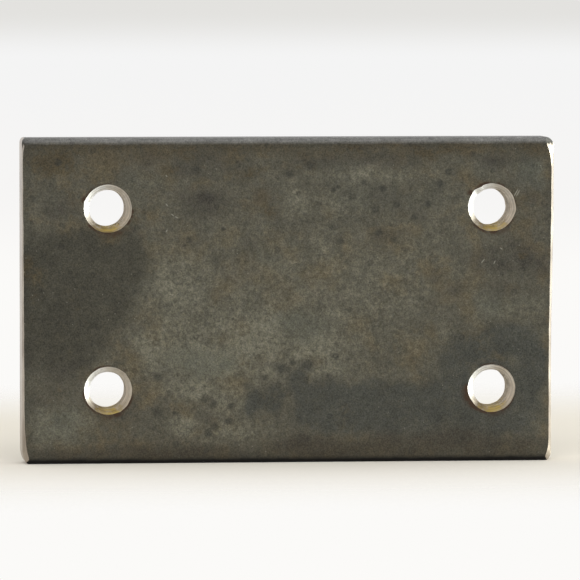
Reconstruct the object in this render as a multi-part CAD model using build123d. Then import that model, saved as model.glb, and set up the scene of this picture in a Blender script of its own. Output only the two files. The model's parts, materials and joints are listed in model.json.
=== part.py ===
from build123d import *
import math
import os

# A flat steel plate with four tapped holes, cut from a length of hot rolled flat bar.
# Sizes are in millimetres. X runs along the length, Y through the thickness with the front face
# towards -Y, and Z up. The origin is in the middle of the long edge that the plate stands on.

# The bar, and the radius that rolling leaves along its four long corners.
plate_length = 98.5
plate_height = 60.0
plate_thickness = 8.0
rolled_radius = 1.2

# Both cut ends are dressed to a narrow bevel along the front face and along the back face.
bevel_width = 0.35
bevel_depth = 0.4

# The dressing rounds the corners too. Each list goes lower left, lower right, upper right,
# upper left, as seen from the front. The outline is the plate's largest profile, and the face
# is the profile that the bevels leave of the front and back faces.
outline_round_along = [1.3, 1.1, 1.7, 0.6]
outline_round_up = [3.0, 1.7, 1.7, 1.2]
face_round_along = [1.5, 1.2, 1.6, 1.0]
face_round_up = [8.5, 4.0, 6.0, 5.0]

# Holes of tapping size for a coarse 8 mm thread, countersunk from both faces. Each axis is set
# out from the nearest end and the nearest long edge.
hole_diameter = 6.8
countersink_diameter = 8.8
countersink_angle = 90.0
hole_from_left_end = 15.8
hole_from_right_end = 11.6
hole_from_base = 13.5
hole_from_top = 13.0

front = -plate_thickness / 2
back = plate_thickness / 2


def profile(depth, inset, round_along, round_up):
    """The plate's closed profile at one depth, with its ends set in and elliptical corners."""
    half_length = plate_length / 2 - inset
    half_height = plate_height / 2
    corners = [(-1, -1, 180), (1, -1, 270), (1, 1, 0), (-1, 1, 90)]
    arcs = []
    for (end, edge, first_angle), along, up in zip(corners, round_along, round_up):
        centre = (end * (half_length - along), half_height + edge * (half_height - up))
        arcs.append(EllipticalCenterArc(centre, along, up, first_angle, arc_size=90))
    sides = [Line(arc @ 1, following @ 0) for arc, following in zip(arcs, arcs[1:] + arcs[:1])]
    plane = Plane((0, depth, 0), x_dir=(1, 0, 0), z_dir=(0, -1, 0))
    return plane * make_face(arcs + sides)


def outline(depth):
    """The largest profile, which the plate has between its bevels."""
    return profile(depth, 0, outline_round_along, outline_round_up)


def face_outline(depth):
    """The smaller profile that the bevels leave on a face."""
    return profile(depth, bevel_width, face_round_along, face_round_up)


def bevelled_blank():
    """The full thickness between the bevels, and a tapering layer out to each face."""
    below_front = front + bevel_depth
    below_back = back - bevel_depth
    core = extrude(outline(below_back), plate_thickness - 2 * bevel_depth)
    front_layer = loft([outline(below_front), face_outline(front)], ruled=True)
    back_layer = loft([face_outline(back), outline(below_back)], ruled=True)
    return core + front_layer + back_layer


def rolled_bar():
    """The bar's section, with its four rolled corners, along the whole length."""
    section = RectangleRounded(plate_thickness, plate_height, rolled_radius)
    middle = Plane((-plate_length / 2, 0, plate_height / 2), x_dir=(0, 1, 0), z_dir=(1, 0, 0))
    return extrude(middle * section, plate_length)


def hole():
    """One through hole with its two countersinks, turned round the Y axis."""
    radius = hole_diameter / 2
    mouth = countersink_diameter / 2
    sink_depth = (mouth - radius) / math.tan(math.radians(countersink_angle / 2))
    half_section = Polyline(
        (0, front),
        (mouth, front),
        (radius, front + sink_depth),
        (radius, back - sink_depth),
        (mouth, back),
        (0, back),
        close=True,
    )
    return revolve(make_face(half_section), Axis.Y)


def hole_places():
    """The four hole axes, as points in the plane of the mid thickness."""
    left = hole_from_left_end - plate_length / 2
    right = plate_length / 2 - hole_from_right_end
    low = hole_from_base
    high = plate_height - hole_from_top
    return [Pos(x, 0, z) for z in (low, high) for x in (left, right)]


tapping_plate = bevelled_blank() & rolled_bar()
for place in hole_places():
    tapping_plate -= place * hole()

os.makedirs("parts", exist_ok=True)
export_step(tapping_plate, "parts/tapping_plate.step")
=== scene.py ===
import json
import math

import bmesh
import bpy
import numpy as np
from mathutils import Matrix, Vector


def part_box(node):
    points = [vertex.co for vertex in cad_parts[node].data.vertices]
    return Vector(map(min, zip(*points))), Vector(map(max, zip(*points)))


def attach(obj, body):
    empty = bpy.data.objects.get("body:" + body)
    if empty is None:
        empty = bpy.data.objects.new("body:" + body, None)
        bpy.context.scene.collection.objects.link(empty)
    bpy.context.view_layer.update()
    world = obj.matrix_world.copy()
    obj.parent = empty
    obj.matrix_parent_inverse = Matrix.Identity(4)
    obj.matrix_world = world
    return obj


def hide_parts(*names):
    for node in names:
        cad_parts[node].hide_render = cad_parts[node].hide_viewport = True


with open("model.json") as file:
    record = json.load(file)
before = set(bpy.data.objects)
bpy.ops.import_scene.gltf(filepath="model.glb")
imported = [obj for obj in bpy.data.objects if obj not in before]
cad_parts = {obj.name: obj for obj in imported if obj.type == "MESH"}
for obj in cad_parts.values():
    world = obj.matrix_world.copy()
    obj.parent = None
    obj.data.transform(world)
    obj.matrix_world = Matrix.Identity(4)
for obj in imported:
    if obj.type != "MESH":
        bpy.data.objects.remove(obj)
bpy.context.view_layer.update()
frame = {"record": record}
print("frame loaded")

mm = 0.001
_, high = (np.array(corner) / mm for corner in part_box("tapping_plate"))  # in mm, as all sizes below
halfLength = high[0]
halfThickness = high[1]
plateHeight = high[2]
pattern = next(mount for mount in frame["record"]["mounts"] if mount["name"] == "tapped_holes")
holeCentres = [
    (pattern["pos_m"][0] / mm + column * pattern["dims"]["spacing_x_mm"] / 2,
     pattern["pos_m"][2] / mm + row * pattern["dims"]["spacing_y_mm"] / 2)
    for row in (-1, 1) for column in (-1, 1)
]


# Camera

camera = {
    "place": (-118.1, -1147.0, 90.4),  # mm, far off, as a long lens stands
    "lookAt": (0.15, -4.0, 31.87),     # the point of the front face at the middle of the picture
    "lens": 387.6,                     # mm, on a sensor 36 mm wide
}


def facing(ahead):
    # the turn that points a camera or a lamp along a direction: tilt about x, then swing about z
    tilt = math.atan2(ahead[2], math.hypot(ahead[0], ahead[1]))
    return math.pi / 2 + tilt, 0.0, math.atan2(-ahead[0], ahead[1])


def makeCamera(values):
    data = bpy.data.cameras.new("camera")
    data.lens = values["lens"]
    data.sensor_width = 36.0
    data.clip_start = 0.05
    data.clip_end = 20.0
    made = bpy.data.objects.new("camera", data)
    bpy.context.scene.collection.objects.link(made)
    place = np.array(values["place"]) * mm
    made.location = place
    made.rotation_euler = facing(np.array(values["lookAt"]) * mm - place)
    bpy.context.scene.camera = made


makeCamera(camera)
print("camera placed")


# Shader helpers

def linear(hexText):
    # an sRGB hex value as a linear colour
    shares = [int(hexText[i:i + 2], 16) / 255 for i in (1, 3, 5)]
    return tuple(s / 12.92 if s <= 0.04045 else ((s + 0.055) / 1.055) ** 2.4 for s in shares) + (1.0,)


def addNode(tree, kind, inputs=(), **settings):
    # one node with its settings. Its inputs come by identifier, or in the order of its sockets, and each
    # is a value, or a node or socket to link
    made = tree.nodes.new("ShaderNode" + kind)
    for name, value in settings.items():
        setattr(made, name, value)
    sockets = {socket.identifier: socket for socket in made.inputs}
    named = inputs if isinstance(inputs, dict) else dict(zip(sockets, inputs))
    for identifier, value in named.items():
        if isinstance(value, bpy.types.Node):
            value = next(socket for socket in value.outputs if socket.enabled)
        if isinstance(value, bpy.types.NodeSocket):
            tree.links.new(value, sockets[identifier])
        else:
            sockets[identifier].default_value = value
    return made


def newMaterial(name):
    made = bpy.data.materials.new(name)
    made.use_nodes = True
    made.node_tree.nodes.clear()
    return made, made.node_tree


# Mill scale on hot rolled bar: a tight blue-black oxide skin gone olive and brown in the air.
# It looks matt and cloudy, darker where the skin is whole and paler where it is rubbed thin.

millScale = {
    "base": "#4f4c3f",
    "warm": "#564e3a",
    "cool": "#4e4c40",
    "ior": 1.45,
    "roughness": 0.5,
    "grain": 0.24,       # mm, the fine grain of the oxide
    "speckle": 0.75,     # mm, the coarser grain
    "mottle": 2.6,       # mm, the cloudy marks
    "tint": 6.0,         # mm, the patches of warmer and cooler scale
    "drift": 15.0,       # mm, the slow change of tone
    "streak": 0.35,      # mm, the streaks along the edges that rolling left
    "wander": 4.0,       # mm, the waves in the outlines of stains
    "spotWander": 1.2,   # mm, how far a spot's outline goes with them
    "spotSpacing": 1.9,  # mm, between places where a small round spot may be
    "fleckSpacing": 1.0,  # mm, between places where a pale fleck may be
    "glint": 0.012,      # how far the finest grain lightens or darkens, on dark scale too
    "relief": 0.03,      # mm, the height of the grain
    # the upper rolled edge: scale rubbed grey, and painted lighter as well as a sheen from light above
    "rubbedEdgeSheen": "#737270",
    "edgeBrownAndShade": "#37301f",
    # painted shade along the edge it stands on, where it meets the floor
    "paintedContactShade": "#040201",
    # stains on the front by name: their colour, how much of their reach is soft edge, and for each its
    # place x and z, its reach along and up, its strength and, if it leans, its turn in degrees
    "stains": {
        "pale": ("#6a6859", 0.95, [
            (-0.8, 30.1, 30.4, 12.9, 0.4), (-9.1, 24.5, 18.4, 8.1, 0.5, 8), (-19.7, 31.9, 6.3, 8.5, 0.6),
            (-23.8, 20.5, 4.1, 4.1, 0.8, 30), (-14.6, 19.4, 9.2, 3.7, 1, -6), (-6.3, 21.8, 7.4, 4.1, 0.8),
            (-5, 25.3, 4.4, 4.4, 0.8, -20), (4.8, 21.8, 5.5, 3.7, 0.8), (7.5, 16.8, 4.1, 2.2, 0.6),
            (-5, 16.8, 3.7, 1.7, 0.7), (-17.3, 14.4, 6.6, 2.9, 0.7), (-11.8, 11.3, 4.8, 3.3, 0.6),
            (-19.2, 7, 2.9, 1.8, 0.7), (-10, 6.1, 4.8, 2.6, 0.6), (15.3, 52.9, 11, 2.6, 0.45),
            (19.5, 30.1, 12.9, 6.6, 0.35), (9.4, 38.3, 11, 6.6, 0.3), (-43.1, 7.2, 4.8, 3.3, 0.75),
            (44, 52.5, 2.6, 2.6, 0.4), (-11.8, 4.3, 6.6, 1.5, 0.4), (9.4, 47.6, 7.4, 2.6, 0.35),
            (33.3, 30.1, 8.1, 2.9, 0.3), (33.3, 47.6, 5.5, 2.2, 0.3), (-19.4, 36, 3.7, 5.5, 0.5),
            (-15, 20.9, 8.1, 3.3, 0.5), (-26.6, 21.8, 2.2, 4.1, 0.7, 30), (-21.9, 24.5, 3.7, 4.4, 0.4),
            (-5.4, 19, 11, 2.6, 0.35), (-13.7, 14.4, 9.2, 2.6, 0.4), (24.8, 41.1, 5.5, 5.5, 0.3),
            (2, 47.6, 2.9, 2.6, 0.5), (33.3, 35.6, 2.9, 4.8, 0.3), (27.8, 21.8, 7.4, 3.7, 0.3),
            (38.8, 28.2, 7.4, 3.3, 0.35), (-1.7, 52.2, 3.7, 2.2, 0.2), (-22.3, 20.5, 6.3, 4.1, 0.7, 20),
            (-11.3, 20.5, 6.6, 2.9, 0.6),
        ]),
        "greenGrey": ("#505146", 0.9, [
            (2, 25.5, 5.5, 2.9, 0.6), (44.3, 53.6, 2.9, 3.3, 0.9), (18.6, 49.4, 11, 2.9, 0.4),
            (-42.2, 7, 5.2, 3.3, 0.6), (-15.5, 18.6, 8.5, 2.9, 0.6), (38.8, 29.1, 6.3, 2.6, 0.5),
            (-5.4, 39.3, 7.4, 2.9, 0.3), (33.3, 54.9, 5.5, 1.8, 0.4), (-25.6, 52.2, 7.4, 1.8, 0.3),
        ]),
        "dark": ("#3a382d", 0.28, [
            (-36.3, 36.7, 10.3, 6.3, 1), (-38.2, 30.1, 9.9, 7.4, 1), (-41.5, 24.5, 8.8, 7.4, 1),
            (-44, 36, 6.3, 6.6, 1), (-44, 20.5, 7, 3.7, 0.95), (-47.7, 30.1, 2.6, 12.9, 0.9),
            (-31.2, 39.3, 5.2, 4.1, 0.9),
        ]),
        "darkSoft": ("#37342c", 0.85, [
            (31.1, 31.2, 2.6, 1.8, 0.5, 30), (27.4, 34.3, 1.8, 1.5, 0.5), (-15.9, 48.5, 4.8, 2.6, 0.75),
            (-19.2, 46.6, 2.2, 1.7, 0.4), (-14.8, 9.2, 1.5, 3.7, 0.4), (-4.5, 49.4, 2.9, 1.8, 0.45),
            (-2.6, 45.9, 2, 1.3, 0.35), (18.2, 49.9, 4.8, 2.6, 0.4), (23.7, 45.5, 2.4, 1.5, 0.4),
            (17.6, 41.8, 3.7, 1.8, 0.35), (-7.6, 40.6, 1.8, 1.5, 0.35), (-17.9, 41.1, 1.8, 1.8, 0.3),
            (-8.1, 35.2, 6.6, 2.9, 0.28), (2, 31.5, 9.2, 3.3, 0.2), (-14.6, 54.9, 4.8, 1.8, 0.3),
            (27.8, 28.2, 7.4, 5.5, 0.25), (-31.5, 9.4, 4.8, 2.9, 0.3), (-23.8, 15.3, 3.7, 1.8, 0.25),
            (-45, 11.6, 3.7, 2.6, 0.25), (35.1, 8, 9.2, 2.9, 0.3), (-25.6, 56.2, 2.6, 2.6, 0.5),
            (-28.2, 42.6, 2.6, 2.2, 0.4), (-16.4, 56.2, 4.1, 1.5, 0.5), (6.6, 55.8, 9.2, 1.7, 0.45),
            (17.6, 55.8, 7.4, 1.7, 0.45), (39.7, 55.8, 6.6, 1.7, 0.5), (-41.8, 47, 4.4, 1.8, 0.45),
            (-42.2, 16.8, 5.2, 2.6, 0.4), (-37.8, 16.1, 2.9, 2.9, 0.4), (-42.2, 11.6, 6.6, 2.6, 0.3),
            (-44, 7, 4.8, 1.5, 0.2), (37.4, 37.1, 5.5, 3.3, 0.5, -6), (42.9, 37.8, 4.8, 4.1, 0.6),
            (45.5, 37.1, 2.9, 4.1, 0.5), (-22.9, 55.8, 11, 2.2, 0.35), (-19, 54.4, 4.4, 2.6, 0.45),
            (-9.1, 48.5, 1.8, 1.5, 0.3), (43, 50.5, 3.7, 3.7, 0.4), (44, 42.5, 3, 4, 0.35),
            (41, 32, 6, 3, 0.35),
        ]),
        "blueGrey": ("#3c3d36", 0.5, [
            (-6.1, 11.6, 2.8, 1.7, 0.8), (-2.4, 13.1, 2.2, 1.8, 0.7), (2, 15.3, 2.2, 2.2, 0.75),
            (-3.5, 11.3, 2.6, 1.8, 0.8), (3.3, 12.4, 2.6, 2.6, 0.75), (8.1, 11.3, 5.2, 3.7, 1),
            (4.2, 8.7, 4.1, 3.3, 0.85), (14, 10.5, 6.6, 3.9, 1), (21.3, 10.4, 6.6, 3.7, 1),
            (27.8, 10.9, 5.9, 4.1, 1), (34, 20.9, 5.2, 2.9, 0.85), (40.3, 22, 7, 3.3, 0.9),
            (44.9, 17.5, 2.9, 7, 1), (41.6, 9.8, 5.5, 4.8, 0.9), (10.3, 7.2, 5.5, 2.4, 0.85),
            (19.5, 6.9, 6.6, 2.4, 0.85), (27.8, 7.2, 5.5, 2.6, 0.75), (6.2, 15, 1.7, 1.5, 0.6),
            (15.3, 14.2, 2.2, 1.7, 0.6), (31.1, 16.8, 3.3, 5.2, 0.85), (26.3, 14.2, 2.2, 1.5, 0.6),
            (35.5, 7.2, 6.6, 2.6, 0.8), (32.4, 11.6, 2.9, 4.4, 0.9), (38.3, 16.8, 2.9, 2.6, 0.9),
            (43.2, 12, 3.7, 7.4, 0.8), (-7.6, 10.2, 1.1, 1.8, 0.9), (-1.1, 17.5, 1.7, 1.1, 0.55),
            (3.1, 17.4, 1.5, 1.3, 0.55),
        ]),
        "lowBrown": ("#38342a", 0.8, [
            (3.5, 3, 6.3, 2, 1), (11.2, 2.4, 7.4, 1.8, 0.8), (21.3, 3.2, 8.5, 2.2, 0.85),
            (30.5, 3.9, 8.8, 2.4, 0.85), (41, 2.8, 6.3, 1.7, 0.75), (-23.8, 2.1, 16.6, 1.3, 0.6),
            (-39.4, 1.7, 9.2, 0.92, 0.5),
        ]),
        "brown": ("#453d29", 0.8, [
            (-44, 55.5, 4.2, 2.2, 1), (-46.4, 57.5, 1.8, 1.3, 0.6), (-41.8, 54.4, 1.5, 1.3, 0.5),
            (-19.4, 57.7, 3.3, 0.92, 0.75), (-18.6, 56.2, 1.3, 0.92, 0.7), (-21.8, 54, 1.3, 1.1, 0.6),
            (-7.2, 53.6, 1.5, 1.1, 0.55), (-5, 54.2, 1.1, 0.92, 0.35), (-8.1, 52, 1.1, 0.74, 0.45),
            (-2.6, 46.1, 1.3, 1.1, 0.65), (1.3, 54, 1.1, 1.1, 0.45), (4.2, 54.9, 1.3, 1.3, 0.45),
            (12.7, 57.9, 1.3, 0.74, 1), (14.1, 56.9, 0.92, 0.74, 0.6), (24.1, 57.3, 1.7, 0.92, 0.85),
            (26.1, 56.4, 1.3, 1.1, 0.6), (28.9, 57.7, 1.5, 1.1, 0.95), (35.1, 57.9, 9.2, 0.92, 0.45),
            (-7.2, 58.1, 12.9, 0.74, 0.5), (-33, 57.9, 11, 0.74, 0.45), (-48.3, 36.3, 1.3, 2.4, 0.9),
            (-46.3, 34.1, 1.7, 1.7, 0.65), (-46.6, 30.6, 1.1, 1.5, 0.35), (22.6, 58.4, 1.3, 0.74, 0.8),
            (45.3, 57.7, 2.6, 1.3, 0.6), (5.7, 57.3, 7.4, 1.1, 0.4), (-32.6, 42.2, 2.8, 1.3, 0.8, 10),
            (-29.1, 44.4, 1.3, 1.7, 0.45), (43.2, 38.3, 1.1, 0.74, 0.7), (-21.9, 22.7, 3.3, 1.8, 0.25),
            (26.3, 30.1, 2.2, 2.2, 0.2),
        ]),
    },
    # round spots, in the same way
    "spots": [
        (-18.5, 41.1, 0.53, 0.53, 1), (-12.2, 43.1, 0.39, 0.39, 0.9), (11.8, 49, 0.74, 0.53, 1),
        (8.1, 50.3, 0.46, 0.46, 0.85), (17.3, 50.5, 0.66, 0.59, 0.9), (20, 47.4, 0.74, 0.63, 0.8),
        (16, 46.6, 0.66, 0.66, 0.95), (25.7, 47.7, 0.59, 0.7, 0.85), (23.2, 45, 0.61, 0.61, 0.75),
        (28, 51.4, 0.63, 0.63, 0.9), (29.6, 53.6, 0.66, 0.63, 1), (8.1, 43.3, 0.61, 0.52, 0.95),
        (9.4, 40.9, 0.74, 0.63, 0.75), (16.7, 42.4, 0.74, 0.74, 0.8), (19.3, 41.1, 0.61, 0.61, 0.65),
        (13.8, 51.6, 0.48, 0.48, 0.7), (8.6, 19.7, 0.52, 0.52, 1), (-1.5, 17.4, 0.74, 0.59, 0.55),
        (-4.6, 15.7, 0.77, 0.59, 0.65), (-24.2, 15.7, 0.88, 0.74, 0.55), (-24.7, 9.4, 0.92, 0.92, 0.7),
        (-17.7, 13.7, 0.52, 0.52, 0.65), (-15.7, 11.8, 0.63, 0.59, 0.65), (-14, 10.9, 0.7, 0.81, 0.65),
        (-10.7, 10.5, 0.59, 0.63, 0.7), (-11.3, 7.8, 0.85, 0.63, 0.75), (-13.8, 7, 0.7, 0.7, 0.8),
        (-15, 5.6, 0.63, 0.7, 0.7), (-21.2, 9.4, 0.48, 0.48, 0.55), (-42.6, 55.5, 0.66, 0.66, 0.95),
        (3.3, 18.1, 1.1, 1.01, 0.5), (-17, 54.2, 0.83, 0.92, 0.8), (0, 53.4, 0.92, 0.74, 0.8),
        (4, 54.9, 0.92, 0.92, 0.7), (0.7, 18.5, 0.59, 0.59, 0.7), (-8.1, 14.2, 0.74, 0.63, 0.5),
    ],
    "spot": "#282821",
    # rust round the rims, and the shadows of burrs painted dark: hole, angle in degrees, distance out from
    # the rim, half length and half width in mm, strength
    "rimMarks": [
        (3, 146, 0.45, 0.45, 0.34, 1.0), (3, 109, 0.08, 1.1, 0.18, 1.0), (3, 128, 0.12, 0.7, 0.12, 0.7),
        (3, 68, 0.12, 0.9, 0.15, 0.7), (3, 240, 0.12, 1.9, 0.18, 0.8), (3, 275, 0.15, 0.9, 0.22, 0.95),
        (3, 318, 0.1, 2.2, 0.13, 0.55), (3, 20, 0.1, 1.6, 0.12, 0.5),
        (1, 182, 0.24, 0.9, 0.3, 1.0), (1, 200, 0.3, 1.0, 0.32, 1.0), (1, 222, 0.26, 1.2, 0.26, 0.95),
        (1, 246, 0.18, 1.2, 0.19, 0.9), (1, 275, 0.12, 1.3, 0.14, 0.75), (1, 303, 0.12, 1.3, 0.15, 0.75),
        (1, 330, 0.1, 1.4, 0.11, 0.6), (1, 100, 0.1, 1.6, 0.12, 0.65), (1, 60, 0.1, 1.4, 0.1, 0.4),
        (2, 160, 0.34, 0.55, 0.28, 1.0), (2, 140, 0.14, 1.2, 0.15, 0.6), (2, 100, 0.1, 1.6, 0.1, 0.5),
        (2, -7, 0.12, 0.4, 0.2, 0.95), (2, -18, 0.14, 0.3, 0.2, 0.85), (2, -34, 0.15, 0.6, 0.16, 0.85),
        (2, 232, 0.15, 1.2, 0.16, 0.75), (2, 265, 0.15, 1.6, 0.17, 0.7), (2, -62, 0.12, 1.2, 0.14, 0.6),
        (0, 192, 0.14, 1.0, 0.15, 0.85), (0, 224, 0.1, 1.7, 0.14, 0.85), (0, 250, 0.1, 1.2, 0.12, 0.6),
        (0, -70, 0.24, 0.8, 0.28, 1.0), (0, -45, 0.12, 1.5, 0.16, 0.9), (0, -22, 0.12, 1.1, 0.15, 0.85),
        (0, 285, 0.3, 2.2, 0.4, 0.45), (1, 285, 0.3, 2.2, 0.4, 0.4), (2, 285, 0.3, 2.4, 0.45, 0.5),
        (3, 285, 0.3, 2.0, 0.4, 0.45), (1, 200, 0.5, 2.2, 0.6, 0.45), (2, 262, 0.5, 1.2, 0.5, 0.35),
        (0, 115, 0.1, 0.9, 0.16, 0.85), (0, 95, 0.1, 0.9, 0.12, 0.6), (0, 50, 0.5, 0.3, 0.18, 0.6),
    ],
    "rimRustAndShade": "#36220d",
    "rimSpread": 1.6,    # how much wider than its half width a mark goes as it fades
    # pale scratches: from x and z, to x and z
    "scratches": [
        (41.7, 48.9, 42.5, 50.3), (42.2, 49.0, 42.8, 50.1), (35.7, 36.7, 36.3, 37.4),
        (38.0, 36.5, 38.3, 37.1), (-22.8, 47.9, -22.4, 47.4), (-21.8, 46.0, -21.3, 45.6),
        (-21.1, 45.5, -20.5, 45.2), (-22.5, 43.1, -22.8, 42.6), (-22.8, 53.1, -22.5, 52.8),
        (39.2, 39.5, 39.6, 39.2),
    ],
    "scratch": "#8f8c80",
}


def markMask(tree, place, marks, edge):
    # 1 inside each ellipse and 0 outside, with a soft edge, and the greatest where they overlap
    total = None
    for mark in marks:
        x, z, along, up, strength, turn = (*mark, 0)[:6]
        local = addNode(tree, "Mapping", (
            place, (x, 0.0, z), (0.0, -math.radians(turn), 0.0), (along, 1e6, up)), vector_type="TEXTURE")
        length = addNode(tree, "VectorMath", (local,), operation="LENGTH").outputs["Value"]
        share = addNode(tree, "MapRange", (length, 1 + edge, 1 - edge, 0.0, strength),
                        interpolation_type="SMOOTHSTEP")
        total = share if total is None else addNode(tree, "Math", (total, share), operation="MAXIMUM")
    return total


def stainShare(tree, name, ragged):
    # a stain's field, worked out at the mesh's points, made ragged by a noise
    field = addNode(tree, "Attribute", attribute_name=name).outputs["Fac"]
    uneven = addNode(tree, "Math", (field, ragged), operation="MULTIPLY")
    return addNode(tree, "MapRange", (uneven, 0.0, 1.0), interpolation_type="SMOOTHSTEP")


def layered(tree, colour, layers):
    # colours laid one over another, each by its share
    for share, over in layers:
        colour = addNode(tree, "Mix", {"Factor_Float": share, "A_Color": colour, "B_Color": over},
                         data_type="RGBA")
    return colour


def product(tree, *values):
    # many values multiplied together, two at a time
    total = values[0]
    for value in values[1:]:
        total = addNode(tree, "Math", (total, value), operation="MULTIPLY")
    return total


def makeMillScale(values):
    material, tree = newMaterial("mill_scale")
    surface = addNode(tree, "TexCoord").outputs["Object"]
    place = addNode(tree, "VectorMath", {"Vector": surface, "Scale": 1 / mm}, operation="SCALE")
    axes = addNode(tree, "SeparateXYZ", (place,))

    # the back has the same marks turned half round, so that neither face is plain
    turned = addNode(tree, "VectorMath", (place, (-1.0, 1.0, -1.0), (0.0, 0.0, plateHeight)),
                     operation="MULTIPLY_ADD")
    onBack = addNode(tree, "MapRange", (axes.outputs["Y"], -0.01, 0.01))
    faced = addNode(tree, "Mix", {"Factor_Float": onBack, "A_Vector": place, "B_Vector": turned},
                    data_type="VECTOR")

    # round spots are a little out of round, by a noise added to the place
    wander = addNode(tree, "TexNoise", {
        "Vector": place, "Scale": 1 / values["wander"], "Detail": 7.0, "Roughness": 0.68})
    step = addNode(tree, "VectorMath", (wander.outputs["Color"], (0.5, 0.5, 0.5)), operation="SUBTRACT")
    nearly = addNode(tree, "VectorMath", (step, (values["spotWander"],) * 3, faced),
                     operation="MULTIPLY_ADD")

    drift = addNode(tree, "TexNoise", {
        "Vector": place, "Scale": 1 / values["drift"], "Detail": 3.0, "Roughness": 0.5})
    mottle = addNode(tree, "TexNoise", {
        "Vector": place, "Scale": 1 / values["mottle"], "Detail": 5.0, "Roughness": 0.62})
    speckle = addNode(tree, "TexNoise", {
        "Vector": place, "Scale": 1 / values["speckle"], "Detail": 3.0, "Roughness": 0.6,
        "Distortion": 0.4})
    grain = addNode(tree, "TexNoise", {
        "Vector": place, "Scale": 1 / values["grain"], "Detail": 2.0, "Roughness": 0.6})

    # olive and warm areas, then the stains
    tint = addNode(tree, "TexNoise", {
        "Vector": place, "Scale": 1 / values["tint"], "Detail": 5.0, "Roughness": 0.6})
    tone = layered(tree, linear(values["base"]), (
        (addNode(tree, "MapRange", (tint, 0.5, end)), linear(values[name]))
        for name, end in (("warm", 0.65), ("cool", 0.35))))
    ragged = product(tree, addNode(tree, "MapRange", (wander.outputs["Fac"], 0.3, 0.7, 0.4, 1.6)),
                     addNode(tree, "MapRange", (speckle, 0.3, 0.7, 0.55, 1.45)))
    tone = layered(tree, tone, (
        (stainShare(tree, name, ragged), linear(colour))
        for name, (colour, _, _) in values["stains"].items()))

    # some spots are fainter than others, and the firmest are rings, paler in the middle
    spots = markMask(tree, nearly, values["spots"], 0.65)
    rings = product(tree, addNode(tree, "MapRange", (spots, 0.05, 0.95)),
                    addNode(tree, "MapRange", (spots, 0.85, 1.0, 1.0, 0.6)),
                    addNode(tree, "MapRange", (mottle, 0.35, 0.6, 0.5, 1.0)))
    tone = layered(tree, tone, [(rings, linear(values["spot"]))])

    # a darker brown strip runs just inside the rolled edges; along the base it is painted shade
    fromTop = addNode(tree, "Math", (plateHeight, axes.outputs["Z"]), operation="SUBTRACT")
    edgeDistance = addNode(tree, "Math", (axes.outputs["Z"], fromTop), operation="MINIMUM")
    strip = product(tree, addNode(tree, "MapRange", (edgeDistance, 5.2, 1.3)),
                    addNode(tree, "MapRange", (mottle, 0.35, 0.6, 0.2, 0.65)))
    tone = layered(tree, tone, [(strip, linear(values["edgeBrownAndShade"]))])

    # the tint wavers from red to green and from blue to yellow with the speckle
    waver = addNode(tree, "VectorMath", (speckle.outputs["Color"], (0.12, 0.0, 0.26), (0.96, 1.0, 0.87)),
                    operation="MULTIPLY_ADD")
    tone = addNode(tree, "VectorMath", (tone, waver), operation="MULTIPLY")

    # cloudy marks and speckle lighten and darken what is there, and it is darker close to every edge, which
    # along the base is painted shade
    fromMiddle = addNode(tree, "Math", (axes.outputs["X"],), operation="ABSOLUTE")
    endDistance = addNode(tree, "Math", (halfLength, fromMiddle), operation="SUBTRACT")
    shade = product(tree, *(addNode(tree, "MapRange", change) for change in (
        (mottle, 0.3, 0.7, 0.82, 1.18), (drift, 0.3, 0.7, 0.89, 1.03), (speckle, 0.25, 0.75, 0.76, 1.24),
        (grain, 0.2, 0.8, 0.52, 1.5), (edgeDistance, 2.4, 1.1, 1.0, 0.8),
        (endDistance, 2.4, 0.6, 1.0, 0.82))))

    # small round spots, where scale blistered: in each cell, nearer to its point than a random radius
    cells = addNode(tree, "TexVoronoi", {"Vector": faced, "Scale": 1 / values["spotSpacing"]})
    chance = addNode(tree, "SeparateColor", (cells.outputs["Color"],))
    radius = addNode(tree, "MapRange", (chance.outputs["Red"], 0.55, 1.0, 0.0, 0.36))
    inside = addNode(tree, "Math", (radius, cells.outputs["Distance"]), operation="SUBTRACT")
    shade = product(tree, shade, addNode(tree, "MapRange", (inside, -0.05, 0.05, 1.0, 0.7)),
                    addNode(tree, "MapRange", (inside, 0.08, 0.2, 1.0, 1.25)))
    colour = addNode(tree, "VectorMath", {"Vector": tone, "Scale": shade}, operation="SCALE")

    # the finest grain shows on dark scale nearly as much as on pale
    glint = addNode(tree, "MapRange", (grain, 0.2, 0.8, -values["glint"], values["glint"]))
    colour = addNode(tree, "VectorMath", (colour, glint), operation="ADD")
    colour = addNode(tree, "VectorMath", (colour, (0.0, 0.0, 0.0)), operation="MAXIMUM")

    # pale flecks, where the scale has chipped to bare metal, and scratches
    flecks = addNode(tree, "TexVoronoi", {"Vector": place, "Scale": 1 / values["fleckSpacing"]})
    chance = addNode(tree, "SeparateColor", (flecks.outputs["Color"],))
    radius = addNode(tree, "MapRange", (chance.outputs["Green"], 0.91, 1.0, 0.0, 0.12))
    inside = addNode(tree, "Math", (radius, flecks.outputs["Distance"]), operation="SUBTRACT")
    chipped = addNode(tree, "MapRange", (inside, 0.0, 0.04, 0.0, 0.5))
    colour = layered(tree, colour, [(chipped, linear(values["scratch"]))])
    lines = [((x0 + x1) / 2, (z0 + z1) / 2, math.hypot(x1 - x0, z1 - z0) / 2, 0.1, 0.7,
              math.degrees(math.atan2(z1 - z0, x1 - x0))) for x0, z0, x1, z1 in values["scratches"]]
    colour = layered(tree, colour, [(markMask(tree, faced, lines, 0.5), linear(values["scratch"]))])

    # rust round the rims, and the painted shadows of burrs
    patchy = addNode(tree, "MapRange", (speckle, 0.3, 0.7, 0.75, 1.6))
    colour = layered(tree, colour, [(stainShare(tree, "rimRustAndShade", patchy), linear(values["rimRustAndShade"]))])
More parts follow.
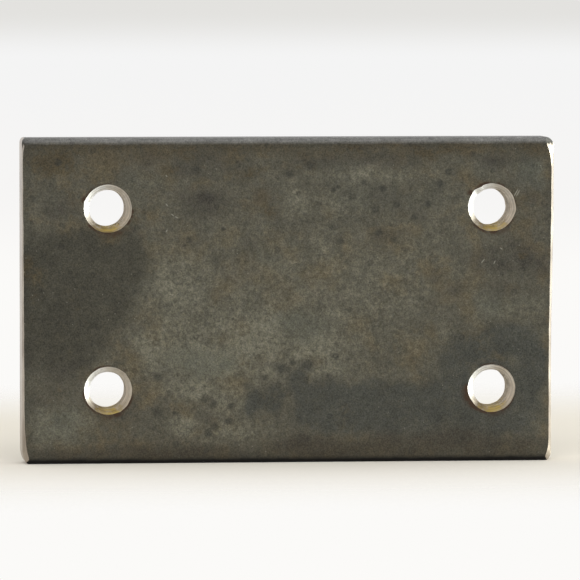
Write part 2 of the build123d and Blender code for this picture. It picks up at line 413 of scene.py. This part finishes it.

    # rolling and handling have rubbed the upper edge grey, which is also painted lighter as a sheen from
    # light above, and the edge it stands on is painted near black as the shade where it meets the floor
    ripple = addNode(tree, "MapRange", (mottle, 0.3, 0.7, -0.12, 0.12))
    uneven = addNode(tree, "Math", (axes.outputs["Z"], ripple))
    along = addNode(tree, "Mapping", {"Vector": place, "Scale": (0.06, 1.0, 1.0)})
    streaks = addNode(tree, "TexNoise", {
        "Vector": along, "Scale": 1 / values["streak"], "Detail": 3.0, "Roughness": 0.6})
    rubbed = product(tree, shade, addNode(tree, "MapRange", (streaks, 0.3, 0.7, 0.95, 1.45)))
    upper = addNode(tree, "MapRange", (uneven, plateHeight - 1.35, plateHeight - 0.45, 0.0, 0.9))
    # rubbed grey scale on the upper edge, with a painted sheen from light above
    rubbedEdgeSheen = addNode(tree, "VectorMath", {
        "Vector": linear(values["rubbedEdgeSheen"])[:3], "Scale": rubbed}, operation="SCALE")
    # painted shade: the edge it stands on is darkened almost to black
    paintedContactShade = addNode(tree, "MapRange", (uneven, 1.3, 0.55, 0.0, 0.99))
    colour = layered(tree, colour, [(upper, rubbedEdgeSheen), (paintedContactShade, linear(values["paintedContactShade"]))])

    rough = addNode(tree, "MapRange", (
        mottle, 0.3, 0.7, values["roughness"] - 0.06, values["roughness"] + 0.1))
    rough = addNode(tree, "Math", (rough, paintedContactShade), operation="MAXIMUM")
    height = addNode(tree, "Math", (mottle, grain))
    bump = addNode(tree, "Bump", {"Height": height, "Strength": 0.25, "Distance": values["relief"] * mm})
    shader = addNode(tree, "BsdfPrincipled", {
        "Base Color": colour, "Roughness": rough, "IOR": values["ior"], "Normal": bump})
    addNode(tree, "OutputMaterial", (shader,))
    return material


# Bare mild steel of the cropped ends, dressed on a belt: warm grey, with fine scratches that run
# up the height, and a soft sheen.

dressedSteel = {
    "colour": "#c2b9ae",
    "tarnish": "#a79d93",
    "dirt": "#9c9083",
    "dirtHeight": 14.0,  # mm, how far up from the base the ends are dirty
    "roughness": 0.42,
    "scratch": 0.25,  # mm between belt scratches, drawn coarser than real so that they show
    "cloud": 6.0,     # mm, the clouds of tarnish
    "relief": 0.02,   # mm, the depth of the scratches
}


def makeDressedSteel(values):
    material, tree = newMaterial("dressed_steel")
    surface = addNode(tree, "TexCoord").outputs["Object"]
    place = addNode(tree, "VectorMath", {"Vector": surface, "Scale": 1 / mm}, operation="SCALE")
    lines = addNode(tree, "Mapping", {"Vector": place, "Scale": (1.0, 1.0, 0.05)})
    scratch = addNode(tree, "TexNoise", {
        "Vector": lines, "Scale": 1 / values["scratch"], "Detail": 3.0, "Roughness": 0.6})
    cloud = addNode(tree, "TexNoise", {
        "Vector": place, "Scale": 1 / values["cloud"], "Detail": 6.0, "Roughness": 0.6})
    height = addNode(tree, "SeparateXYZ", (place,)).outputs["Z"]
    tarnish = addNode(tree, "MapRange", (cloud, 0.38, 0.68))
    dirt = product(tree, addNode(tree, "MapRange", (height, values["dirtHeight"], 0.0, 0.0, 0.8)),
                   addNode(tree, "MapRange", (cloud, 0.3, 0.6, 0.5, 1.0)))
    tone = layered(tree, linear(values["colour"]), [
        (tarnish, linear(values["tarnish"])), (dirt, linear(values["dirt"]))])
    brushed = addNode(tree, "MapRange", (scratch, 0.3, 0.7, 0.86, 1.12))
    colour = addNode(tree, "VectorMath", {"Vector": tone, "Scale": brushed}, operation="SCALE")
    rough = addNode(tree, "MapRange", (
        scratch, 0.3, 0.7, values["roughness"] - 0.1, values["roughness"] + 0.12))
    bump = addNode(tree, "Bump", {"Height": scratch, "Strength": 0.3, "Distance": values["relief"] * mm})
    shader = addNode(tree, "BsdfPrincipled", {
        "Base Color": colour, "Metallic": 1.0, "Roughness": rough, "Normal": bump})
    addNode(tree, "OutputMaterial", (shader,))
    return material


# Machined mild steel of the hole walls: tan grey, with fine tool rings round the axis, and a
# golden film of cutting oil that has run to the bottom of each hole.

tappedSteel = {
    "colour": "#ece6dc",
    "dull": "#cfc7bc",
    "film": "#c2ad8e",
    # white, a painted highlight on the wall near the upper left of each hole
    "paintedHighlight": "#ffffff",
    # dirt at the bottom of each hole, and painted shade there
    "sludgeAndShade": "#5c5040",
    "oil": "#c4ab62",
    "roughness": 0.62,
    "toolRing": 0.2,  # mm between tool rings
    "cloud": 1.1,     # mm, the clouds of dulled metal
    "relief": 0.03,   # mm, the depth of the rings
}


def makeTappedSteel(values):
    material, tree = newMaterial("tapped_steel")
    surface = addNode(tree, "TexCoord").outputs["Object"]
    place = addNode(tree, "VectorMath", {"Vector": surface, "Scale": 1 / mm}, operation="SCALE")
    rings = addNode(tree, "Mapping", {"Vector": place, "Scale": (0.1, 1 / values["toolRing"], 0.1)})
    ring = addNode(tree, "TexNoise", {"Vector": rings, "Scale": 1.0, "Detail": 3.0, "Roughness": 0.6})
    cloud = addNode(tree, "TexNoise", {
        "Vector": place, "Scale": 1 / values["cloud"], "Detail": 6.0, "Roughness": 0.65})
    oil, sludgeAndShade, paintedHighlight = (addNode(tree, "Attribute", attribute_name=name).outputs["Fac"]
                          for name in ("oil", "sludgeAndShade", "paintedHighlight"))

    # the metal is dull in clouds, and near the upper left of each hole it is painted white as a highlight
    bare = layered(tree, linear(values["colour"]), [
        (addNode(tree, "MapRange", (cloud, 0.4, 0.65)), linear(values["dull"])),
        (addNode(tree, "MapRange", (paintedHighlight, 0.0, 0.5)), linear(values["paintedHighlight"]))])
    tone = product(tree, addNode(tree, "MapRange", (ring, 0.3, 0.7, 0.72, 1.15)),
                   addNode(tree, "MapRange", (cloud, 0.3, 0.7, 0.9, 1.08)))
    bare = addNode(tree, "VectorMath", {"Vector": bare, "Scale": tone}, operation="SCALE")

    # a thin film, then dirt in clouds, which also paints shade low in each hole, then wet oil in streaks
    # with a ragged edge
    film = addNode(tree, "VectorMath", {
        "Vector": linear(values["film"])[:3], "Scale": tone}, operation="SCALE")
    dirtAndShade = product(tree, addNode(tree, "MapRange", (sludgeAndShade, 0.0, 0.6)),
                    addNode(tree, "MapRange", (cloud, 0.35, 0.6, 0.3, 0.9)))
    ripple = addNode(tree, "MapRange", (cloud, 0.3, 0.7, -0.12, 0.12))
    ragged = addNode(tree, "Math", (oil, ripple))
    wet = product(tree, addNode(tree, "MapRange", (ragged, 0.68, 0.9)),
                  addNode(tree, "MapRange", (ring, 0.35, 0.6, 0.25, 1.0)),
                  addNode(tree, "MapRange", (cloud, 0.3, 0.55, 0.5, 1.0)))
    colour = layered(tree, bare, [
        (addNode(tree, "MapRange", (oil, 0.1, 0.6, 0.0, 0.5)), film),
        (dirtAndShade, linear(values["sludgeAndShade"])), (wet, linear(values["oil"]))])

    rough = addNode(tree, "MapRange", (wet, 0.0, 1.0, values["roughness"], 0.3))
    bump = addNode(tree, "Bump", {"Height": ring, "Strength": 0.35, "Distance": values["relief"] * mm})
    shader = addNode(tree, "BsdfPrincipled", {
        "Base Color": colour, "Metallic": 1.0, "Roughness": rough, "Normal": bump})
    addNode(tree, "OutputMaterial", (shader,))
    return material


# The plate. Every surface is a grid of points worked out from two parameters, and the grids meet
# point for point, so that they weld into one closed skin.

plate = {
    "rolledRadius": 1.2,
    # by end, left and right: the bevel's depth, its width at the base and at the top, and how far the cut
    # leans in below the height where it starts to, down to where it is straight again
    "bevelDepth": {-1: 0.4, 1: 0.75},
    "bevelWidth": {-1: (0.45, 0.15), 1: (0.52, 0.48)},
    "lean": {-1: (0.0, 50.0, 18.0), 1: (0.42, 52.0, 18.0)},
    # corner reaches along the length and up the height, by (end, edge), on the outline and the face
    "outline": {(-1, -1): (1.3, 3.0), (1, -1): (1.1, 1.7), (1, 1): (1.7, 1.7), (-1, 1): (0.6, 1.2)},
    "face": {(-1, -1): (1.5, 8.5), (1, -1): (1.5, 4.5), (1, 1): (2.5, 6.0), (-1, 1): (1.0, 5.0)},
    "waviness": 0.035,  # how far hand dressing and drilling leave an edge from true
    "dish": 0.03,       # how hollow rolling leaves a face
    "sidePoints": 34,   # points along one side of the quarter round a hole; even, so that the rims meet
    "arcPoints": 10,    # of those, the points on half of a corner
    "faceRings": 36,
    "rollSteps": 8,
    "weld": 0.002,      # grids' points closer than this are one
    "sharpAngle": 32.0, # degrees between faces, from which an edge shows
}

# Holes, tapped M8

hole = {
    "mouth": 4.4,        # countersink radius
    "drill": 3.4,        # tapping drill radius
    "major": 4.0,        # thread's outer radius
    "pitch": 1.25,
    "leadIn": 1.0,       # depth below a face where the thread begins
    "fade": 0.7,         # further depth over which it grows to its full height
    "rowsPerPitch": 10,  # rows of points
    "flank": 30.0,       # degrees, half of the thread's angle
    "root": 1 / 16,      # half of the root's width, as a share of the pitch
    # chips in the rim, by hole: angle and half width in degrees, and how far out in mm
    "chips": {
        0: [(-60, 4, 0.08), (45, 9, 0.05)], 1: [(183, 14, 0.06), (215, 6, -0.06)],
        2: [(163, 5, 0.12), (-20, 8, 0.06)], 3: [(137, 6, 0.12), (119, 7, -0.14), (-5, 8, 0.1)],
    },
    # what lies on the wall, and the painted highlight: angle of its middle, and its reach either side, in
    # degrees
    "films": {"oil": (-84, 130), "sludgeAndShade": (-98, 66), "paintedHighlight": (150, 90)},
}


pointsRound = 4 * plate["sidePoints"]


def wave(place, seed):
    # a smooth wander of about 1 high: three sines of the place in mm, of lengths near 9, 4 and 2 mm
    return (0.5 * np.sin(place * 0.7 + seed) + 0.3 * np.sin(place * 1.63 + 2.1 * seed)
            + 0.2 * np.sin(place * 3.3 + 4.7 * seed))


def rolledInset(depth):
    # how far the rolled corner stands in from the edge: the radius less the circle's height
    beyond = np.clip(np.abs(depth) - (halfThickness - plate["rolledRadius"]), 0, plate["rolledRadius"])
    return plate["rolledRadius"] - np.sqrt(plate["rolledRadius"] ** 2 - beyond ** 2)


def quarterOutline(end, edge, depths):
    # one quarter of the outline at each depth, from mid height down its end, round its corner and
    # along its edge to mid length: straight, quarter ellipse, straight. Between the bevels it is
    # the outline, at a face it is the face's own profile, and the bevel runs straight from one to
    # the other. Then the rolled corner cuts off what stands above it.
    side, arc = plate["sidePoints"], plate["arcPoints"]
    index = np.arange(2 * side + 1)
    turn = np.clip((index - side + arc) / (2 * arc), 0, 1) * math.pi / 2
    onEnd = np.clip(1 - index / (side - arc), 0, 1)
    onEdge = np.clip((index - side - arc) / (side - arc), 0, 1)
    middleX = halfLength - end * pattern["pos_m"][0] / mm
    middleZ = pattern["pos_m"][2] / mm if edge < 0 else plateHeight - pattern["pos_m"][2] / mm
    profiles = []
    for name in ("outline", "face"):
        along, up = plate[name][(end, edge)]
        inward = up * (1 - np.sin(turn)) + onEnd * (middleZ - up)
        z = inward if edge < 0 else plateHeight - inward
        reach, start, stop = plate["lean"][end]
        share = np.clip((start - z) / (start - stop), 0, 1)
        inset = reach * share ** 2 * (3 - 2 * share)
        if name == "face":
            base, top = plate["bevelWidth"][end]
            inset = inset + base + (top - base) * z / plateHeight + plate["waviness"] * wave(z, 3.0 * end)
        x = inset + along * (1 - np.cos(turn)) + onEdge * (middleX - inset - along)
        profiles.append((x, inward))
    share = np.clip((np.abs(depths) - halfThickness) / plate["bevelDepth"][end] + 1, 0, 1)[:, None]
    x = profiles[0][0] * (1 - share) + profiles[1][0] * share
    inward = profiles[0][1] * (1 - share) + profiles[1][1] * share
    limit = rolledInset(depths)[:, None]
    rolled = inward < limit
    inward = np.maximum(inward, limit)
    z = inward if edge < 0 else plateHeight - inward
    points = np.stack([end * (halfLength - x), np.broadcast_to(depths[:, None], x.shape), z], axis=-1)
    bare = (index <= side + arc)[None, :] & ~rolled
    if edge > 0:  # the bevel stops at the rolled corner, which keeps its scale
        bare &= (share == 0) | (inward > plate["rolledRadius"])
    return points, bare


def gridFaces(rows, columns):
    # the four corners of each cell of a grid of points counted row by row
    corner = (np.arange(rows - 1)[:, None] * columns + np.arange(columns - 1)).ravel()
    return np.stack([corner, corner + 1, corner + columns + 1, corner + columns], axis=1)


def rimRadius(centre, angle):
    # a hole's mouth at an angle taken anticlockwise from the front: it wanders a little and is chipped
    wander = np.sin(3 * angle + centre[0]) + 0.7 * np.sin(7 * angle + centre[1]) + 0.6 * np.sin(17 * angle)
    radius = hole["mouth"] + 0.5 * plate["waviness"] * wander
    index = min(range(4), key=lambda i: math.dist(holeCentres[i], centre))
    for place, halfWidth, out in hole["chips"][index]:
        apart = (np.degrees(angle) - place + 180) % 360 - 180
        radius = radius + out * np.exp(-(apart / halfWidth) ** 2)
    return radius


def holeRadius(centre, angle, depth):
    # the larger of the thread and the two countersinks. The thread is a wave with flat crests at
    # the drill's radius and narrow roots at the major radius, one pitch deeper for each turn
    phase = ((depth + halfThickness) / hole["pitch"] - angle / (2 * math.pi)) % 1.0
    flank = (hole["major"] - hole["drill"]) * math.tan(math.radians(hole["flank"])) / hole["pitch"]
    share = np.clip((hole["root"] + flank - np.abs(phase - 0.5)) / flank, 0, 1)
    full = np.clip((halfThickness - hole["leadIn"] - np.abs(depth)) / hole["fade"], 0, 1)
    thread = hole["drill"] + share * full * (hole["major"] - hole["drill"])
    mouth = rimRadius(centre, -angle)
    sink = mouth - (halfThickness - np.abs(depth))
    return np.maximum(thread, sink)


def holeGrids(centre):
    # the wall as one strip that follows the thread, and a wedge at each end that fills from the
    # strip's slant to the face. Angle runs clockwise from the front, as a right-hand thread goes in
    rows, pitch = hole["rowsPerPitch"], hole["pitch"]
    turn = np.linspace(0, 1, pointsRound + 1)[None, :]
    stripRows = round((2 * halfThickness / pitch - 1) * rows)
    strip = (np.arange(stripRows + 1)[:, None] / rows + turn) * pitch
    wedge = np.arange(rows + 1)[:, None] / rows
    depths = [strip, wedge * turn * pitch, 2 * halfThickness - (1 - wedge) * (1 - turn) * pitch]
    grids = []
    for depth in depths:
        depth = depth - halfThickness
        angle = np.broadcast_to(turn * 2 * math.pi, depth.shape)
        radius = holeRadius(centre, angle, depth)
        x = centre[0] + radius * np.cos(angle)
        z = centre[1] - radius * np.sin(angle)
        grids.append(np.stack([x, depth, z], axis=-1))
    return grids


def faceGrid(centre, end, edge, depth):
    # one quarter of a face: each point of the hole's rim is joined to a point of the quarter's
    # border, in steps that are short at both
    side = plate["sidePoints"]
    border = quarterOutline(end, edge, np.array([depth]))[0][0]
    middle = np.array([pattern["pos_m"][0] / mm, depth, pattern["pos_m"][2] / mm])
    step = np.arange(1, side + 1)[:, None] / side
    upMiddle = border[-1] + (middle - border[-1]) * step
    toEnd = middle + (border[0] - middle) * step
    border = np.concatenate([border, upMiddle, toEnd])
    angle = math.radians(135) + np.arange(pointsRound + 1) * 2 * math.pi / pointsRound
    direction = np.stack([-end * np.cos(angle), np.zeros_like(angle), -edge * np.sin(angle)], axis=-1)
    radius = rimRadius(centre, np.arctan2(direction[:, 2], direction[:, 0]))
    rim = np.array([centre[0], depth, centre[1]]) + radius[:, None] * direction
    s = np.linspace(0, 1, plate["faceRings"] + 1)[:, None, None]
    ease = s * s * (3 - 2 * s)
    return rim + (border - rim) * ease


def buildPlate():
    scale, dressed, tapped = 0, 1, 2
    roll = np.linspace(0, math.pi / 2, plate["rollSteps"] + 1)
    rollDepths = halfThickness - plate["rolledRadius"] * (1 - np.cos(roll))
    flat = halfThickness - plate["rolledRadius"]
    levels = np.concatenate([
        rollDepths, -rollDepths, np.linspace(-flat, flat, 7),
        [side * (halfThickness - depth) for depth in plate["bevelDepth"].values() for side in (-1, 1)]])
    levels = np.unique(np.round(levels, 6))

    points, faces, kinds, count = [], [], [], 0
    def keep(grid, kind):
        nonlocal count
        cells = gridFaces(*grid.shape[:2])
        points.append(grid.reshape(-1, 3))
        faces.append(cells + count)
        kinds.append(np.broadcast_to(kind, len(cells)))
        count += grid.shape[0] * grid.shape[1]

    for centre, (edge, end) in zip(holeCentres, [(row, column) for row in (-1, 1) for column in (-1, 1)]):
        outline, bare = quarterOutline(end, edge, levels)
        share = (bare[:-1, :-1].astype(int) + bare[1:, :-1] + bare[:-1, 1:] + bare[1:, 1:]) / 4
        keep(outline, np.where(share >= 0.75, dressed, scale).ravel())
        for depth in (-halfThickness, halfThickness):
            keep(faceGrid(centre, end, edge, depth), scale)
        for grid in holeGrids(centre):
            keep(grid, tapped)
    points = np.concatenate(points)
    faces = np.concatenate(faces)
    kinds = np.concatenate(kinds)

    # rolling leaves each face a little hollow between its edges
    hollow = plate["dish"] * (0.5 + 0.5 * np.sin(points[:, 0] * 0.11 + 1.0) * np.sin(points[:, 2] * 0.13))
    points[:, 1] *= 1 - hollow / halfThickness

    mesh = bpy.data.meshes.new("tapping_plate_skin")
    mesh.from_pydata((points * mm).tolist(), [], faces.tolist())
    mesh.polygons.foreach_set("material_index", kinds.astype(np.int32))
    welded = bmesh.new()
    welded.from_mesh(mesh)
    bmesh.ops.remove_doubles(welded, verts=welded.verts, dist=plate["weld"] * mm)
    bmesh.ops.recalc_face_normals(welded, faces=welded.faces)
    welded.to_mesh(mesh)
    openEdges = sum(1 for e in welded.edges if len(e.link_faces) != 2)
    print("plate skin:", len(mesh.polygons), "faces,", openEdges, "open edges,",
          "volume", round(welded.calc_volume() / mm ** 3), "cubic mm")
    welded.free()
    mesh.polygons.foreach_set("use_smooth", np.ones(len(mesh.polygons), dtype=bool))
    mesh.set_sharp_from_angle(angle=math.radians(plate["sharpAngle"]))
    return mesh


def markField(x, z, marks, edge):
    # at each point the greatest share of any ellipse: 1 well inside it, falling off smoothly across
    # its edge, times its strength
    field = np.zeros(len(x))
    for mark in marks:
        centreX, centreZ, along, up, strength, turn = (*mark, 0)[:6]
        c, s = math.cos(math.radians(turn)), math.sin(math.radians(turn))
        right, rise = x - centreX, z - centreZ
        distance = np.hypot((right * c + rise * s) / along, (rise * c - right * s) / up)
        share = np.clip((1 + edge - distance) / (2 * edge), 0, 1)
        field = np.maximum(field, strength * share ** 2 * (3 - 2 * share))
    return field


def markPlate(mesh):
    # each stain, the rust round the rims, and each film in the holes, as one value at every point
    co = np.empty(len(mesh.vertices) * 3)
    mesh.vertices.foreach_get("co", co)
    x, y, z = co.reshape(-1, 3).T / mm
    turned = y > 0  # the back has the front's marks turned half round
    markX, markZ = np.where(turned, -x, x), np.where(turned, plateHeight - z, z)
    bentX = markX + 0.8 * wave(markZ * 0.6 + markX * 0.23, 1.3)
    bentZ = markZ + 0.6 * wave(markX * 0.6 - markZ * 0.31, 5.1)
    fields = {name: markField(bentX, bentZ, marks, edge)
              for name, (_, edge, marks) in millScale["stains"].items()}

    rims = []
    for index, angle, out, along, across, strength in millScale["rimMarks"]:
        away = hole["mouth"] + out
        rims.append((holeCentres[index][0] + away * math.cos(math.radians(angle)),
                     holeCentres[index][1] + away * math.sin(math.radians(angle)),
                     along, across * millScale["rimSpread"], strength, angle - 90))
    fields["rimRustAndShade"] = markField(x, z, rims, 0.6)

    # in a hole, oil and dirt fall off either side of the bottom, the dirt also painting shade there, and a
    # painted highlight either side of the upper left
    fields.update({name: np.zeros(len(x)) for name in hole["films"]})
    for centreX, centreZ in holeCentres:
        inside = np.hypot(x - centreX, z - centreZ) < hole["mouth"] + 0.2
        angle = np.degrees(np.arctan2(z - centreZ, x - centreX))
        ripple = 0.06 * wave(y * 2 + angle * 0.2, centreX)
        for name, (middle, reach) in hole["films"].items():
            apart = (angle - middle + 180) % 360 - 180
            share = np.clip(1 - np.abs(apart) / reach + ripple, 0, 1) * inside
            fields[name] = np.maximum(fields[name], share)
    for name, values in fields.items():
        layer = mesh.attributes.new(name, "FLOAT", "POINT")
        layer.data.foreach_set("value", values.astype(np.float32))


plateMesh = buildPlate()
markPlate(plateMesh)
for material in (makeMillScale(millScale), makeDressedSteel(dressedSteel), makeTappedSteel(tappedSteel)):
    plateMesh.materials.append(material)
skin = bpy.data.objects.new("tapping_plate_skin", plateMesh)
bpy.context.scene.collection.objects.link(skin)
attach(skin, "root")
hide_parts("tapping_plate")
print("plate finished")


# Stage: a plain pale floor that fades into a white surround, which is bright behind the plate and
# dimmer in front of it, a low soft lamp on the right, and a large soft one in front and above

stage = {
    "floor": "#e5dfd3",
    "floorRadius": 0.9,      # m
    "fadeCentre": 0.055,     # m behind the plate, the middle of the part that doesn't fade
    "fadeFrom": 0.035,       # m from there, where the fading begins and ends
    "fadeTo": 0.17,
    "fadeShare": 0.35,       # and how slowly it goes along the plate's length
    # surround as seen at and below the horizon: sine of the angle, and colour there
    "view": [(-0.05, "#fbfaf8"), (-0.034, "#f6f5f4"), (-0.014, "#f4f4f4"), (-0.006, "#e3e2df")],
    "glowBehind": 0.95,      # light of the surround, behind the plate and in front of it
    "glowAhead": 0.38,
    "lamps": [
        # name, place and the point it faces in m, width, height, watts, colour
        ("right_lamp", (0.94, -0.14, 0.04), (0.0, 0.0, 0.03), 0.45, 0.4, 12.0, "#fbfff4"),
        ("front_lamp", (-0.05, -1.2, 1.1), (0.0, 0.0, 0.03), 1.1, 1.0, 10.7, "#ffffff"),
    ],
}


def makeFloor(values):
    angle = np.linspace(0, 2 * math.pi, 96, endpoint=False)
    rim = values["floorRadius"] * np.stack([np.cos(angle), np.sin(angle), 0 * angle], axis=1)
    mesh = bpy.data.meshes.new("floor")
    mesh.from_pydata(rim.tolist(), [], [tuple(range(len(rim)))])
    floor = bpy.data.objects.new("floor", mesh)
    bpy.context.scene.collection.objects.link(floor)
    material, tree = newMaterial("pale_floor")
    surface = addNode(tree, "TexCoord").outputs["Object"]
    local = addNode(tree, "VectorMath", (
        surface, (values["fadeShare"], 1.0, 1.0), (0.0, -values["fadeCentre"], 0.0)),
        operation="MULTIPLY_ADD")
    away = addNode(tree, "VectorMath", (local,), operation="LENGTH").outputs["Value"]
    fade = addNode(tree, "MapRange", (away, values["fadeFrom"], values["fadeTo"]),
                   interpolation_type="SMOOTHSTEP")
    matt = addNode(tree, "BsdfDiffuse", {"Color": linear(values["floor"])})
    clear = addNode(tree, "BsdfTransparent")
    mixed = addNode(tree, "MixShader", (fade, matt, clear))
    addNode(tree, "OutputMaterial", (mixed,))
    mesh.materials.append(material)


def makeSurround(values):
    world = bpy.data.worlds.new("surround")
    bpy.context.scene.world = world
    world.use_nodes = True
    tree = world.node_tree
    tree.nodes.clear()
    direction = addNode(tree, "SeparateXYZ", (addNode(tree, "TexCoord").outputs["Generated"],))
    glow = addNode(tree, "MapRange", (
        direction.outputs["Y"], -0.9, 0.2, values["glowAhead"], values["glowBehind"]),
        interpolation_type="SMOOTHSTEP")
    light = addNode(tree, "Background", ((1.0, 1.0, 1.0, 1.0), glow))
    lowest, *others = values["view"]
    seen = layered(tree, linear(lowest[1]), (
        (addNode(tree, "MapRange", (direction.outputs["Z"], below, above), interpolation_type="SMOOTHSTEP"),
         linear(colour))
        for (below, _), (above, colour) in zip(values["view"], others)))
    view = addNode(tree, "Background", (seen, 1.0))
    path = addNode(tree, "LightPath")
    mixed = addNode(tree, "MixShader", (path.outputs["Is Camera Ray"], light, view))
    addNode(tree, "OutputWorld", (mixed,))


def makeLamp(name, place, target, width, height, watts, colour):
    data = bpy.data.lights.new(name, "AREA")
    data.shape = "RECTANGLE"
    data.size = width
    data.size_y = height
    data.energy = watts
    data.color = linear(colour)[:3]
    lamp = bpy.data.objects.new(name, data)
    bpy.context.scene.collection.objects.link(lamp)
    lamp.location = place
    lamp.rotation_euler = facing(np.array(target) - np.array(place))
    lamp.visible_camera = False


makeFloor(stage)
makeSurround(stage)
for lamp in stage["lamps"]:
    makeLamp(*lamp)
bpy.context.scene.view_settings.view_transform = "Standard"
print("stage finished")
